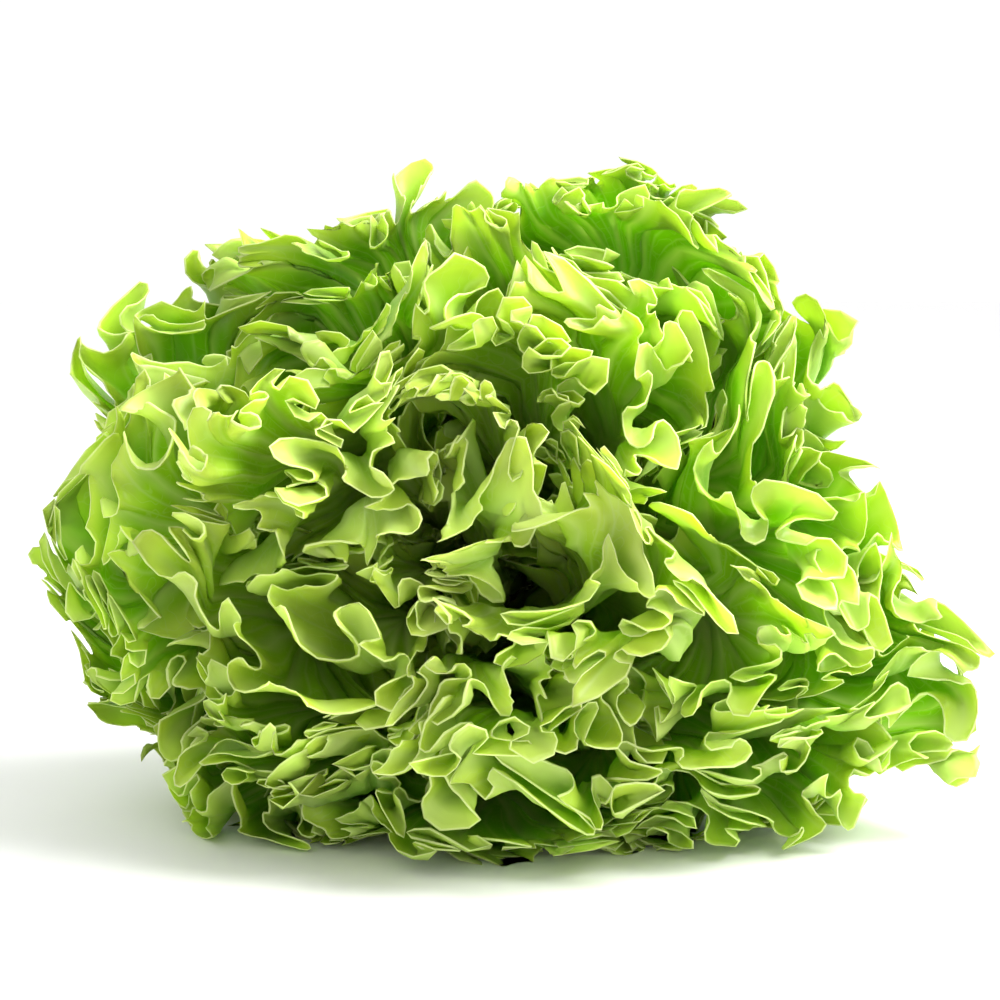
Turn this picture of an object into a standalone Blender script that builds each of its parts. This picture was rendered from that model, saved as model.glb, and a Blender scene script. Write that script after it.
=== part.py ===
"""A head of green leaf lettuce lying on a table, as cut: a short cone of stem, and leaves that grow from it
ring above ring, each with a ruffled margin. Run with blender --background --python part.py. Metres, +Z up,
and the origin is on the table under the middle of the head, with the ruffled side facing -Y."""

import math

import bmesh
import bpy
import numpy as np
from mathutils import Matrix, Vector

# The head as it lies: the stem's axis runs from the cut end towards the heart
HEAD_TILT = math.radians(14)
HEAD_TURN = math.radians(11)
STEM_FOOT = np.array((0.00980, 0.09216, 0.0600))

# The stem inside the head is a cone, which the leaves clasp, and a short round stump below them
STEM_RADIUS = 0.018
STEM_TOP_RADIUS = 0.004
STEM_HEIGHT = 0.042
STUMP_LENGTH = 0.014
STEM_CLEARANCE = 0.0012
CUT_BEVEL = 0.002
STEM_SIDES = 24

# Rings of leaves, from the heart outwards
RING_NAMES = ("heart", "bud", "inner", "young", "middle", "broad", "outer", "wrapper")
LEAVES_IN_RING = (3, 4, 5, 6, 6, 7, 7, 8)
WAVES_IN_RING = (8, 10, 11, 11, 12, 12, 12, 12)
RINGS = len(LEAVES_IN_RING)
HEART_ROOM = 0.8
GOLDEN_ANGLE = math.radians(137.5)

# How far the leaf tips reach from the stem's axis, every 15 degrees round it: from the right over the top
REACH = 0.001 * np.array((156, 126, 127, 140, 140, 140, 130, 122, 128, 160, 160, 150,
                          148, 140, 132, 138, 130, 121, 116, 120, 136, 130, 150, 173))

# The shells that the rings lie on form a dome, which is less open below the axis, where it lies on the table
DOME_FOOT = 0.062
DOME_HEIGHT = 0.130
DOME_OPENING = math.radians(84)
DOME_CLOSED_BELOW = math.radians(12)
HEART_LEAN = math.radians(3)
TIP_STRAIGHT = 0.42
STRAIGHTER_BELOW = 0.22
TIP_LEAN = 0.45

# Shells bulge towards their neighbours and leaves turn round the stem by slow waves, all together, so that
# they still don't meet. Bulges: waves round the stem, phase, phase gained up the leaf, and size in rings
SHELL_BULGES = ((2, 0.7, 0.0, 0.35), (3, 2.1, 1.5, 0.30))
SHELL_SUNK = 0.15
LEAF_TURN = 0.12
LEAF_TURNS_ROUND = 3
LEAF_TURN_LAG = 0.9
RING_TURN = 0.16
RING_TURN_PACE = 1.3

# The head is out of shape by slow waves through space, which fade towards the table and the stem. For the
# moves along X, Y and Z: the waves' pace along X, Y and Z, and their phase
DRIFT_SIZE = 0.006
DRIFT_LENGTH = 0.022
DRIFT_WAVES = ((0.0, 0.7, 1.1, 0.5), (0.9, 0.0, -1.2, 1.9), (1.2, 0.8, 0.0, 3.6))
DRIFT_FREE_HEIGHT = (0.01, 0.08)
DRIFT_FREE_ALONG = (0.0, 0.5)

# Leaves end unevenly. In front of a glimpse some end early, and the face of a leaf behind shows: angle round
# the stem in degrees, half width in degrees, and share of the length lost
TIP_SPREAD = (0.94, 1.06)
OUTER_TIP_SPREAD = (0.95, 1.04)
OUTER_RINGS = 2
GLIMPSES = ((126, 14, 0.16), (68, 11, 0.12), (18, 12, 0.10))
GLIMPSE_RINGS = (3, 5)

# The leaf: a narrow stalk that fans out into a round blade, with its ribs leaning out from the midrib
STALK_SHARE = 0.72
STALK_END = 0.15
BLADE_FULL = 0.65
TIP_ROUNDING = 0.17
TIP_SQUARENESS = 3.0
RIB_START = 0.2
RIB_LEAN = 0.5
BLADE_THICKNESS = 0.0010

# The ruffle along the margin: the edge swings from side to side like a river, and grows smooth down the stalk
SWING = 1.55
LOBE_DEPTH = 0.003
RUFFLE_START = 0.15
RUFFLE_GROWTH = 1.2
RUFFLE_FADE = (0.30, 0.55)
STALK_PACE = 0.001
SPACING_KNOTS = 9
SPACING_SPREAD = 0.25
SIZE_KNOTS = 11
SIZE_SPREAD = 0.2
LEAST_FORWARD = 0.2

# Room for the ruffle: a leaf stays in its own share of the gap between shells and of its ring. It bends over
# from the knee on, and never passes the share
CELL_KNEE = 0.30
CELL_SHARE = 0.44
SECTOR_KNEE = 0.75
SECTOR_SHARE = 0.92

# The table presses the lowest leaves flat: the wrapper leaves lie on it, and each ring inside is held higher
TABLE_KNEE = 0.014
TABLE_DEPTH = 0.002
ON_TABLE = 0.35
RING_STEP = 0.0055
FLAT_BELOW = 0.00005
PRESSED_SWING = 0.35
PRESSED_HEIGHT = (0.0, 0.02)

# The mesh: fine steps along the margin for the sums, and rows of points from the midrib out
FINE_STEPS = 600
ROWS = (0.0, 0.5, 0.8, 1.0)
COLUMNS_PER_WAVE = 4
STALK_COLUMNS = 4
SAME_POINT = 0.00001
SHARP_EDGE = math.radians(60)
SEED = 20

# Colours, from the pale heart to the green wrapper leaves
HEART_GREEN = np.array((0.42, 0.62, 0.16))
WRAPPER_GREEN = np.array((0.20, 0.46, 0.04))
STEM_WHITE = np.array((0.72, 0.76, 0.50))
LEAF_ROUGHNESS = 0.5
STEM_ROUGHNESS = 0.55


def stem_axes():
    """The stem's axis, and the two directions across it: to the right, and up."""
    axis = Vector((-math.sin(HEAD_TURN), -math.cos(HEAD_TURN), math.tan(HEAD_TILT))).normalized()
    right = Vector((math.cos(HEAD_TURN), -math.sin(HEAD_TURN), 0.0))
    up = axis.cross(right)
    return axis, right, up


AXIS, RIGHT, UP = stem_axes()


def ease(x, low, high):
    """0 below low, 1 above high, and smooth between."""
    x = np.clip((x - low) / (high - low), 0, 1)
    return x * x * (3 - 2 * x)


def reach_at(angle):
    """How far the outermost tips reach at an angle round the stem's axis, as a smooth closed curve."""
    place = (angle / math.radians(360 / len(REACH))) % len(REACH)
    before = np.floor(place).astype(int)
    share = ease(place - before, 0, 1)
    return REACH[before % len(REACH)] * (1 - share) + REACH[(before + 1) % len(REACH)] * share


def profile(ring, angle, along):
    """A shell's profile through the stem's axis: distance from the axis, height on it and leaf length."""
    outward = (ring + HEART_ROOM) / (RINGS - 0.5 + HEART_ROOM)
    below = np.clip(-np.sin(angle), 0, 1)
    lean = np.maximum((DOME_OPENING - DOME_CLOSED_BELOW * below) * outward, HEART_LEAN)
    foot_r = STEM_TOP_RADIUS + (STEM_RADIUS - STEM_TOP_RADIUS) * outward
    foot_h = STEM_HEIGHT * (1 - outward)
    tip_r = reach_at(angle) * np.sin(lean)
    tip_h = DOME_FOOT + DOME_HEIGHT * np.cos(lean)
    span = np.hypot(tip_r - foot_r, tip_h - foot_h)
    heading = TIP_LEAN * lean * (1 - below**2)
    straight = span * (TIP_STRAIGHT + STRAIGHTER_BELOW * below**2)
    bend_r = tip_r - straight * np.sin(heading)
    bend_h = tip_h - straight * np.cos(heading)
    inside = np.minimum(along, 1)
    beyond = np.maximum(along - 1, 0) * span
    foot, bend, tip = (1 - inside) ** 2, 2 * inside * (1 - inside), inside**2
    r = foot * foot_r + bend * bend_r + tip * tip_r + beyond * np.sin(heading)
    h = foot * foot_h + bend * bend_h + tip * tip_h + beyond * np.cos(heading)
    return r, h, span


def wander(ring, angle, along):
    """A place among the shells, moved by the slow waves, which fade at the heart, outside and stem."""
    outward = (ring + 0.5) / RINGS
    up_leaf = np.clip(along, 0, 1)
    bulge = -SHELL_SUNK
    for waves, phase, gained, size in SHELL_BULGES:
        bulge = bulge + size * np.sin(waves * angle + phase + gained * along)
    ring = ring + 4 * outward * (1 - outward) * up_leaf * bulge
    turn = LEAF_TURN * np.sin(LEAF_TURNS_ROUND * angle + LEAF_TURN_LAG * ring)
    turn = turn + RING_TURN * np.sin(RING_TURN_PACE * ring)
    return ring, angle + up_leaf * turn


def drift(point, along):
    """Points moved by the slow waves through space."""
    free = DRIFT_SIZE * ease(point[..., 2], *DRIFT_FREE_HEIGHT) * ease(along, *DRIFT_FREE_ALONG)
    moves = [np.sin(point @ np.array(pace) / DRIFT_LENGTH + phase) * free for *pace, phase in DRIFT_WAVES]
    return point + np.stack(moves, axis=-1)


def press_on_table(z, ring):
    """Heights near the table are squeezed together in order: wrapper leaves lie flat, the others on them."""
    room = TABLE_KNEE + TABLE_DEPTH
    pressed = room * np.exp((np.minimum(z, TABLE_KNEE) - TABLE_KNEE) / room) - TABLE_DEPTH
    floor = BLADE_THICKNESS / 2 + RING_STEP * np.maximum(RINGS - 1 - ON_TABLE - ring, 0)
    return np.maximum(np.where(z > TABLE_KNEE, z, pressed), floor)


def free_point(ring, angle, along):
    """The point on a shell, if there were no table, at an angle and a share of the leaf length."""
    ring, angle = wander(ring, angle, along)
    r, h, _ = profile(ring, angle, along)
    point = STEM_FOOT + np.multiply.outer(h, AXIS)
    return point + np.multiply.outer(r * np.cos(angle), RIGHT) + np.multiply.outer(r * np.sin(angle), UP)


def shell_point(ring, angle, along):
    """The point on a shell, also between rings, pressed on the table and drifted with its neighbours."""
    point = free_point(ring, angle, along)
    point[..., 2] = press_on_table(point[..., 2], ring)
    return drift(point, along)


def limited(x, knee, most):
    """x up to knee, then bending over so that it never passes most."""
    size = np.abs(x)
    bent = knee + (most - knee) * np.tanh((size - knee) / (most - knee))
    return np.sign(x) * np.where(size < knee, size, bent)


def running_mean(values, width):
    """The mean of values over a window of that many steps, with the ends held."""
    window = np.hanning(width + 2)[1:-1]
    held = np.concatenate((np.full(width, values[0]), values, np.full(width, values[-1])))
    return np.convolve(held, window / window.sum(), "same")[width:-width]


def uneven(knots, spread, draw):
    """A slowly varying factor round 1 along the margin."""
    factors = draw.uniform(-spread, spread, knots)
    return 1 + np.interp(np.linspace(0, 1, FINE_STEPS), np.linspace(0, 1, knots), factors)


class Leaf:
    """One leaf: its place in the head, its flat outline and its ruffle."""

    def __init__(self, ring, number):
        draw = np.random.default_rng((SEED, ring, number))
        self.name = f"{RING_NAMES[ring]}_leaf_{number + 1}"
        self.ring = ring
        self.half_sector = math.pi / LEAVES_IN_RING[ring]
        self.angle = ring * GOLDEN_ANGLE + 2 * number * self.half_sector
        self.tip = draw.uniform(*(TIP_SPREAD if ring < RINGS - OUTER_RINGS else OUTER_TIP_SPREAD))
        for angle, width, lost in GLIMPSES:
            off = math.remainder(self.angle - math.radians(angle), 2 * math.pi) / math.radians(width)
            if GLIMPSE_RINGS[0] <= ring <= GLIMPSE_RINGS[1]:
                self.tip *= 1 - lost * math.exp(-off * off)
        self.waves = WAVES_IN_RING[ring]
        self.first_phase = math.pi * draw.integers(0, 2)
        self.wave_spacing = uneven(SPACING_KNOTS, SPACING_SPREAD, draw)
        self.wave_size = uneven(SIZE_KNOTS, SIZE_SPREAD, draw)
        self.set_outline()
        self.rows = {out: self.row(out) for out in ROWS[1:]}

    def set_outline(self):
        """The flat outline, x across and y along the leaf, from the stalk's left edge round to its right."""
        share = np.linspace(0, 1, FINE_STEPS)
        r, _, span = profile(self.ring, self.angle, share * self.tip)
        self.length = float(span)
        fanned = np.clip((share - STALK_END) / (BLADE_FULL - STALK_END), 0, 1)
        blade = STALK_SHARE + (1 - STALK_SHARE) * fanned
        past = np.clip((share - 1 + TIP_ROUNDING) / TIP_ROUNDING, 0, 1)
        half_width = self.half_sector * r * SECTOR_SHARE * blade * np.sqrt(1 - past**TIP_SQUARENESS)
        x = np.concatenate((-half_width, half_width[-2::-1]))
        y = self.tip * self.length * np.concatenate((share, share[-2::-1]))
        passed = np.concatenate(((0,), np.cumsum(np.hypot(np.diff(x), np.diff(y)))))
        self.steps = np.linspace(0, 1, FINE_STEPS)
        self.edge_x = np.interp(self.steps * passed[-1], passed, x)
        self.edge_y = np.interp(self.steps * passed[-1], passed, y)
        height = self.edge_y / (self.tip * self.length)
        fork = RIB_START * self.tip * self.length
        self.rib_y = np.where(height < RIB_START, self.edge_y, fork + RIB_LEAN * (self.edge_y - fork))
        self.ruffled = ease(height, *RUFFLE_FADE)
        pace = self.ruffled / self.wave_spacing + STALK_PACE
        turns = np.cumsum(pace) / pace.sum() * self.waves
        self.phase = 2 * math.pi * turns + self.first_phase

    def columns(self):
        """Places along the margin: a few up each side of the stalk, and the turns of each wave between."""
        turns = np.linspace(self.phase[0], self.phase[-1], COLUMNS_PER_WAVE * self.waves + 1)
        places = np.interp(turns, self.phase, self.steps)
        stalk = np.linspace(0, 1, STALK_COLUMNS + 1)[:-1]
        return np.concatenate((stalk * places[1], places[1:-1], 1 - (1 - places[-2]) * stalk[::-1]))

    def row(self, out):
        """The ruffled line at a share of the way from the midrib out to the margin, in world coordinates."""
        x = out * self.edge_x
        y = self.rib_y + out * (self.edge_y - self.rib_y)
        along_x, along_y = np.gradient(self.edge_x), np.gradient(self.edge_y)
        size = np.hypot(along_x, along_y)
        along_x, along_y = along_x / size, along_y / size
        growth = np.clip((out - RUFFLE_START) / (1 - RUFFLE_START), 0, 1) ** RUFFLE_GROWTH
        growth = growth * self.ruffled * self.least_pressed(x, y)
        heading = SWING * growth * self.wave_size * np.sin(self.phase)
        window = FINE_STEPS // self.waves
        forward_share = np.maximum(running_mean(np.cos(heading), window), LEAST_FORWARD)
        step = np.hypot(np.gradient(x), np.gradient(y)) / forward_share
        forward = np.cumsum(np.cos(heading) * step)
        aside = np.cumsum(np.sin(heading) * step)
        forward = forward - running_mean(forward, window)
        aside = aside - running_mean(aside, window)
        x = x + forward * along_x
        y = np.maximum(y + forward * along_y, 0)
        along = y / self.length
        r, _, _ = profile(self.ring, self.angle, along)
        across = limited(x / (self.half_sector * r * SECTOR_SHARE), SECTOR_KNEE, SECTOR_SHARE)
        angle = self.angle + self.half_sector * across
        gap, slide = self.across_shells(angle, along)
        shift = limited(aside / gap, CELL_KNEE, CELL_SHARE)
        lobes = LOBE_DEPTH / self.length * growth * np.cos(2 * self.phase)
        return shell_point(self.ring + shift, angle, np.maximum(along - shift * slide + lobes, 0))

    def least_pressed(self, x, y):
        """How much of the ruffle is left at places on the leaf: less where the table presses it flat."""
        r, _, _ = profile(self.ring, self.angle, y / self.length)
        angle = self.angle + x / np.maximum(r, STEM_TOP_RADIUS)
        height = free_point(self.ring, angle, y / self.length)[:, 2]
        return PRESSED_SWING + (1 - PRESSED_SWING) * ease(height, *PRESSED_HEIGHT)

    def across_shells(self, angle, along):
        """The distance from one shell to the next, square to the leaf, and how far that slides along it."""
        step = 0.02
        from_inner = shell_point(self.ring + 0.5, angle, along) - shell_point(self.ring - 0.5, angle, along)
        upward = shell_point(self.ring, angle, along + step) - shell_point(self.ring, angle, along)
        stretch = np.linalg.norm(upward, axis=-1) / step
        upward = upward / (stretch * step)[:, None]
        slant = (from_inner * upward).sum(axis=-1)
        gap = np.linalg.norm(from_inner - slant[:, None] * upward, axis=-1)
        return gap, slant / stretch

    def at(self, place, out):
        """The point at a place along the margin and a share of the way out to it."""
        line = self.rows[out]
        return [float(np.interp(place, self.steps, line[:, axis])) for axis in range(3)]

    def on_rib(self, place, opposite):
        """The point on the midrib that a place on one side of the margin and the one opposite share."""
        y = (np.interp(place, self.steps, self.rib_y) + np.interp(opposite, self.steps, self.rib_y)) / 2
        point = shell_point(np.array((self.ring,)), np.array((self.angle,)), np.array((y / self.length,)))
        return point[0].tolist()


def material(name, colour, roughness):
    """A matt finish in one colour."""
    made = bpy.data.materials.new(name)
    made.use_nodes = True
    surface = made.node_tree.nodes["Principled BSDF"]
    surface.inputs["Base Color"].default_value = (*colour, 1.0)
    surface.inputs["Roughness"].default_value = roughness
    return made


def add_piece(name, mesh, head):
    """A new object for a mesh, among the head's pieces."""
    piece = bpy.data.objects.new(name, mesh)
    head.objects.link(piece)
    return piece


def applied(piece):
    """The piece's mesh with its modifier applied, shaded smooth up to its sharp edges."""
    bpy.context.view_layer.update()
    graph = bpy.context.evaluated_depsgraph_get()
    mesh = bpy.data.meshes.new_from_object(piece.evaluated_get(graph))
    piece.modifiers.clear()
    mesh.shade_smooth()
    mesh.set_sharp_from_angle(angle=SHARP_EDGE)
    return mesh


def leaf_sheet(leaf):
    """The leaf as a sheet of triangles from the midrib out, with twice the columns in each further row."""
    places = leaf.columns()
    last = len(places) - 1
    bm = bmesh.new()
    bmesh.ops.create_grid(bm, x_segments=last // 4, y_segments=1, size=0.5)
    for row in range(2, len(ROWS)):
        margin = [e for e in bm.edges if all(v.co.y > row - 1.6 for v in e.verts)]
        grown = bmesh.ops.extrude_edge_only(bm, edges=margin)["geom"]
        bmesh.ops.translate(bm, verts=[v for v in grown if isinstance(v, bmesh.types.BMVert)], vec=(0, 1, 0))
        margin = [e for e in bm.edges if all(v.co.y > row - 0.6 for v in e.verts)]
        bmesh.ops.subdivide_edges(bm, edges=margin, cuts=1)
    bmesh.ops.triangulate(bm, faces=bm.faces)
    for v in bm.verts:
        column = round((v.co.x + 0.5) * last)
        row = round(v.co.y + 0.5)
        if row == 0:
            v.co = leaf.on_rib(places[column], places[last - column])
        else:
            v.co = leaf.at(places[column], ROWS[row])
    bmesh.ops.remove_doubles(bm, verts=bm.verts, dist=SAME_POINT)
    mesh = bpy.data.meshes.new(leaf.name)
    bm.to_mesh(mesh)
    bm.free()
    return mesh


def make_leaf(leaf, head):
    """The leaf's sheet with its thickness, flat where it touches the table."""
    blade = add_piece(leaf.name, leaf_sheet(leaf), head)
    wall = blade.modifiers.new("blade", "SOLIDIFY")
    wall.thickness = BLADE_THICKNESS
    wall.offset = 0
    wall.use_quality_normals = True
    blade.data = applied(blade)
    for v in blade.data.vertices:
        if v.co.z < FLAT_BELOW:
            v.co.z = 0.0
    paleness = 1 - leaf.ring / (RINGS - 1)
    green = WRAPPER_GREEN + (HEART_GREEN - WRAPPER_GREEN) * paleness**2
    blade.data.materials.append(material(f"{leaf.name}_green", green, LEAF_ROUGHNESS))


def make_stem(head):
    """The cut stem, turned about its axis, with the cut edge rubbed round."""
    outside = STEM_RADIUS - STEM_CLEARANCE
    outline = (
        (0.0, STEM_HEIGHT - STEM_CLEARANCE),
        (STEM_TOP_RADIUS - STEM_CLEARANCE, STEM_HEIGHT - 2 * STEM_CLEARANCE),
        (outside, 0.0),
        (outside, CUT_BEVEL - STUMP_LENGTH),
        (outside - CUT_BEVEL, -STUMP_LENGTH),
        (0.0, -STUMP_LENGTH),
    )
    mesh = bpy.data.meshes.new("cut_stem")
    mesh.from_pydata([(r, 0, h) for r, h in outline], [(i, i + 1) for i in range(len(outline) - 1)], [])
    stem = add_piece("cut_stem", mesh, head)
    turn = stem.modifiers.new("turn", "SCREW")
    turn.steps = turn.render_steps = STEM_SIDES
    turn.use_merge_vertices = True
    turn.merge_threshold = SAME_POINT
    stem.data = applied(stem)
    turned = Matrix((RIGHT, UP, AXIS)).transposed().to_4x4()
    stem.matrix_world = Matrix.Translation(Vector(STEM_FOOT)) @ turned
    stem.data.materials.append(material("stem_white", STEM_WHITE, STEM_ROUGHNESS))


def main():
    for old in list(bpy.data.objects):
        bpy.data.objects.remove(old)
    head = bpy.data.collections.new("green_leaf_lettuce")
    bpy.context.scene.collection.children.link(head)
    make_stem(head)
    for ring in range(RINGS):
        for number in range(LEAVES_IN_RING[ring]):
            make_leaf(Leaf(ring, number), head)


main()
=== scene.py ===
import math
from functools import partial

import bpy
import numpy as np
from mathutils import Matrix, Vector


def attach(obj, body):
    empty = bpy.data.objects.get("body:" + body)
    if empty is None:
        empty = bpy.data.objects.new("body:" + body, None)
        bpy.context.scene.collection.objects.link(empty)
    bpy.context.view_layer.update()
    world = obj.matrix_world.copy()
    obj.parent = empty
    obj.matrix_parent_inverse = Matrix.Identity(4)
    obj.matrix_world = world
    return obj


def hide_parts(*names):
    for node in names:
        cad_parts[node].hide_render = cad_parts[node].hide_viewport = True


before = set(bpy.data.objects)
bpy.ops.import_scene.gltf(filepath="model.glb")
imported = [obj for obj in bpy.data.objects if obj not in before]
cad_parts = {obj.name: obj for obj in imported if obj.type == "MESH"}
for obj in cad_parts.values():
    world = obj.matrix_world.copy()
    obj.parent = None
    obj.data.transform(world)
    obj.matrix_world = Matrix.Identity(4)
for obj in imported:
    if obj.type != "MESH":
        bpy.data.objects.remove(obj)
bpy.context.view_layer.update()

# The cut stem
# A short cone of firm, pale, milky flesh that every leaf grows from, cut straight across below the head. It
# is turned about its axis, with the scars of lost leaves round it, and browns a little at the rim of the cut.
HEAD_TILT = math.radians(14)
HEAD_TURN = math.radians(11)
STEM_FOOT = np.array((0.00980, 0.09216, 0.0600))
STEM_RADIUS = 0.018
STEM_TOP_RADIUS = 0.004
STEM_HEIGHT = 0.042
STUMP_LENGTH = 0.014
STEM_CLEARANCE = 0.0012
CUT_BEVEL = 0.002
STEM_SIDES = 96
SIDE_RINGS = 90
CUT_RINGS = 14
SCAR_SPACING = 0.0036
SCAR_DEPTH = 0.0005
SCAR_WAVES = 3.0
FLESH_GRAIN = 0.0035
FLESH_RELIEF = 0.0005
STEM_SEED = 3.0

# Its colours, with those of the cut from the pith to the rind, each at its share of the way out
STEM_FLESH = (0.46, 0.53, 0.24)
STEM_STREAK = (0.30, 0.42, 0.11)
PITH_WHITE = (0.55, 0.60, 0.36)
CUT_BROWN = (0.30, 0.17, 0.06)
CUT_COLOURS = ((0.40, PITH_WHITE), (0.50, STEM_STREAK), (0.60, STEM_FLESH), (0.84, STEM_FLESH))
CUT_UNEVENNESS = 0.004
CUT_STREAKED = 0.35
CUT_FADE = (0.0006, 0.0030)
STREAKS_PER_METRE = 260
PATCHES_PER_METRE = 120
STREAK_RELIEF = 0.0003
STEM_ROUGHNESS = 0.45


def stem_axes():
    """The stem's axis towards the heart, and the two directions across it: to the right, and up."""
    axis = Vector((-math.sin(HEAD_TURN), -math.cos(HEAD_TURN), math.tan(HEAD_TILT))).normalized()
    right = Vector((math.cos(HEAD_TURN), -math.sin(HEAD_TURN), 0.0))
    return np.array(axis), np.array(right), np.array(axis.cross(right))


AXIS, RIGHT, UP = stem_axes()


def add_node(tree, kind, inputs=(), **settings):
    """A node with settings, and with inputs that are each a value or another node's output."""
    made = tree.nodes.new(kind)
    for key, value in settings.items():
        setattr(made, key, value)
    for key, value in dict(inputs).items():
        if isinstance(value, bpy.types.NodeSocket):
            tree.links.new(value, made.inputs[key])
        else:
            made.inputs[key].default_value = value
    return made


def maths(tree, operation, first, second=None):
    """The output of a sum of one or two numbers or outputs."""
    terms = {0: first} if second is None else {0: first, 1: second}
    return add_node(tree, "ShaderNodeMath", terms, operation=operation).outputs[0]


def scaled(tree, vector, scale):
    """A vector or colour times a number."""
    return add_node(tree, "ShaderNodeVectorMath", {0: vector, "Scale": scale}, operation="SCALE").outputs[0]


def ranged(tree, value, low, high, first, last):
    """A number that goes from first to last while the value goes from low to high."""
    limits = {"Value": value, "From Min": low, "From Max": high, "To Min": first, "To Max": last}
    return add_node(tree, "ShaderNodeMapRange", limits).outputs["Result"]


def noise(tree, place, per_metre, detail, seed=None):
    """A noise texture in space, which a seed can change."""
    inputs = {"Vector": place, "Scale": per_metre, "Detail": detail}
    if seed is None:
        return add_node(tree, "ShaderNodeTexNoise", inputs)
    return add_node(tree, "ShaderNodeTexNoise", {**inputs, "W": seed}, noise_dimensions="4D")


def new_skin(name):
    """A material with an empty Principled surface, and its node tree."""
    skin = bpy.data.materials.new(name)
    skin.use_nodes = True
    return skin, skin.node_tree, skin.node_tree.nodes["Principled BSDF"]


def read(tree, attribute, output="Fac"):
    """What a skin reads from the mesh under it."""
    return add_node(tree, "ShaderNodeAttribute", attribute_name=attribute).outputs[output]


def mixed(tree, share, first, second):
    """The first colour with a share of the second."""
    mix = add_node(tree, "ShaderNodeMix", {"Factor": share, "A": first, "B": second}, data_type="RGBA")
    return mix.outputs["Result"]


def ramped(tree, share, first, stops, last):
    """A colour that changes with a share: from the first, by those at the stops, to the last."""
    ramp = add_node(tree, "ShaderNodeValToRGB", {"Fac": share})
    elements = ramp.color_ramp.elements
    elements[0].color = (*first, 1)
    elements[1].color = (*last, 1)
    for stop, colour in stops:
        elements.new(stop).color = (*colour, 1)
    return ramp.outputs["Color"]


def new_growth(name, inputs):
    """An empty Geometry Nodes tree with its named inputs, and the node that they come in by."""
    tree = bpy.data.node_groups.new(name, "GeometryNodeTree")
    tree.interface.new_socket("Geometry", in_out="OUTPUT", socket_type="NodeSocketGeometry")
    for label, kind in (("Geometry", "Geometry"), *inputs, ("Seed", "Float"), ("Material", "Material")):
        tree.interface.new_socket(label, in_out="INPUT", socket_type="NodeSocket" + kind)
    return tree, tree.nodes.new("NodeGroupInput").outputs


def stored(tree, geometry, label, value, kind="FLOAT", domain="POINT"):
    """The geometry with a named attribute."""
    inputs = {"Geometry": geometry, "Name": label, "Value": value}
    return add_node(tree, "GeometryNodeStoreNamedAttribute", inputs, data_type=kind, domain=domain).outputs[0]


def raised(tree, geometry, lift):
    """The geometry with its points moved along their normals."""
    offset = scaled(tree, add_node(tree, "GeometryNodeInputNormal").outputs[0], lift)
    return add_node(tree, "GeometryNodeSetPosition", {"Geometry": geometry, "Offset": offset}).outputs[0]


def end_growth(tree, grown, given):
    """The end of a tree: no instances left, smooth, and of its material."""
    smooth = add_node(tree, "GeometryNodeSetShadeSmooth", {"Geometry": grown}).outputs[0]
    real = add_node(tree, "GeometryNodeRealizeInstances", {"Geometry": smooth}).outputs[0]
    skinned = add_node(tree, "GeometryNodeSetMaterial", {"Geometry": real, "Material": given["Material"]})
    add_node(tree, "NodeGroupOutput", {0: skinned.outputs[0]})


def grow(name, mesh, tree, sizes):
    """A new piece: the mesh as changed by a tree with these sizes, as a plain mesh."""
    piece = bpy.data.objects.new(name, mesh)
    bpy.context.scene.collection.objects.link(piece)
    growth = piece.modifiers.new(tree.name, "NODES")
    growth.node_group = tree
    for socket in tree.interface.items_tree:
        if socket.in_out == "INPUT" and socket.name in sizes:
            growth[socket.identifier] = sizes[socket.name]
    grown = piece.evaluated_get(bpy.context.evaluated_depsgraph_get())
    plain = bpy.data.meshes.new_from_object(grown)
    piece.modifiers.remove(growth)
    piece.data = plain
    return piece


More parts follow.
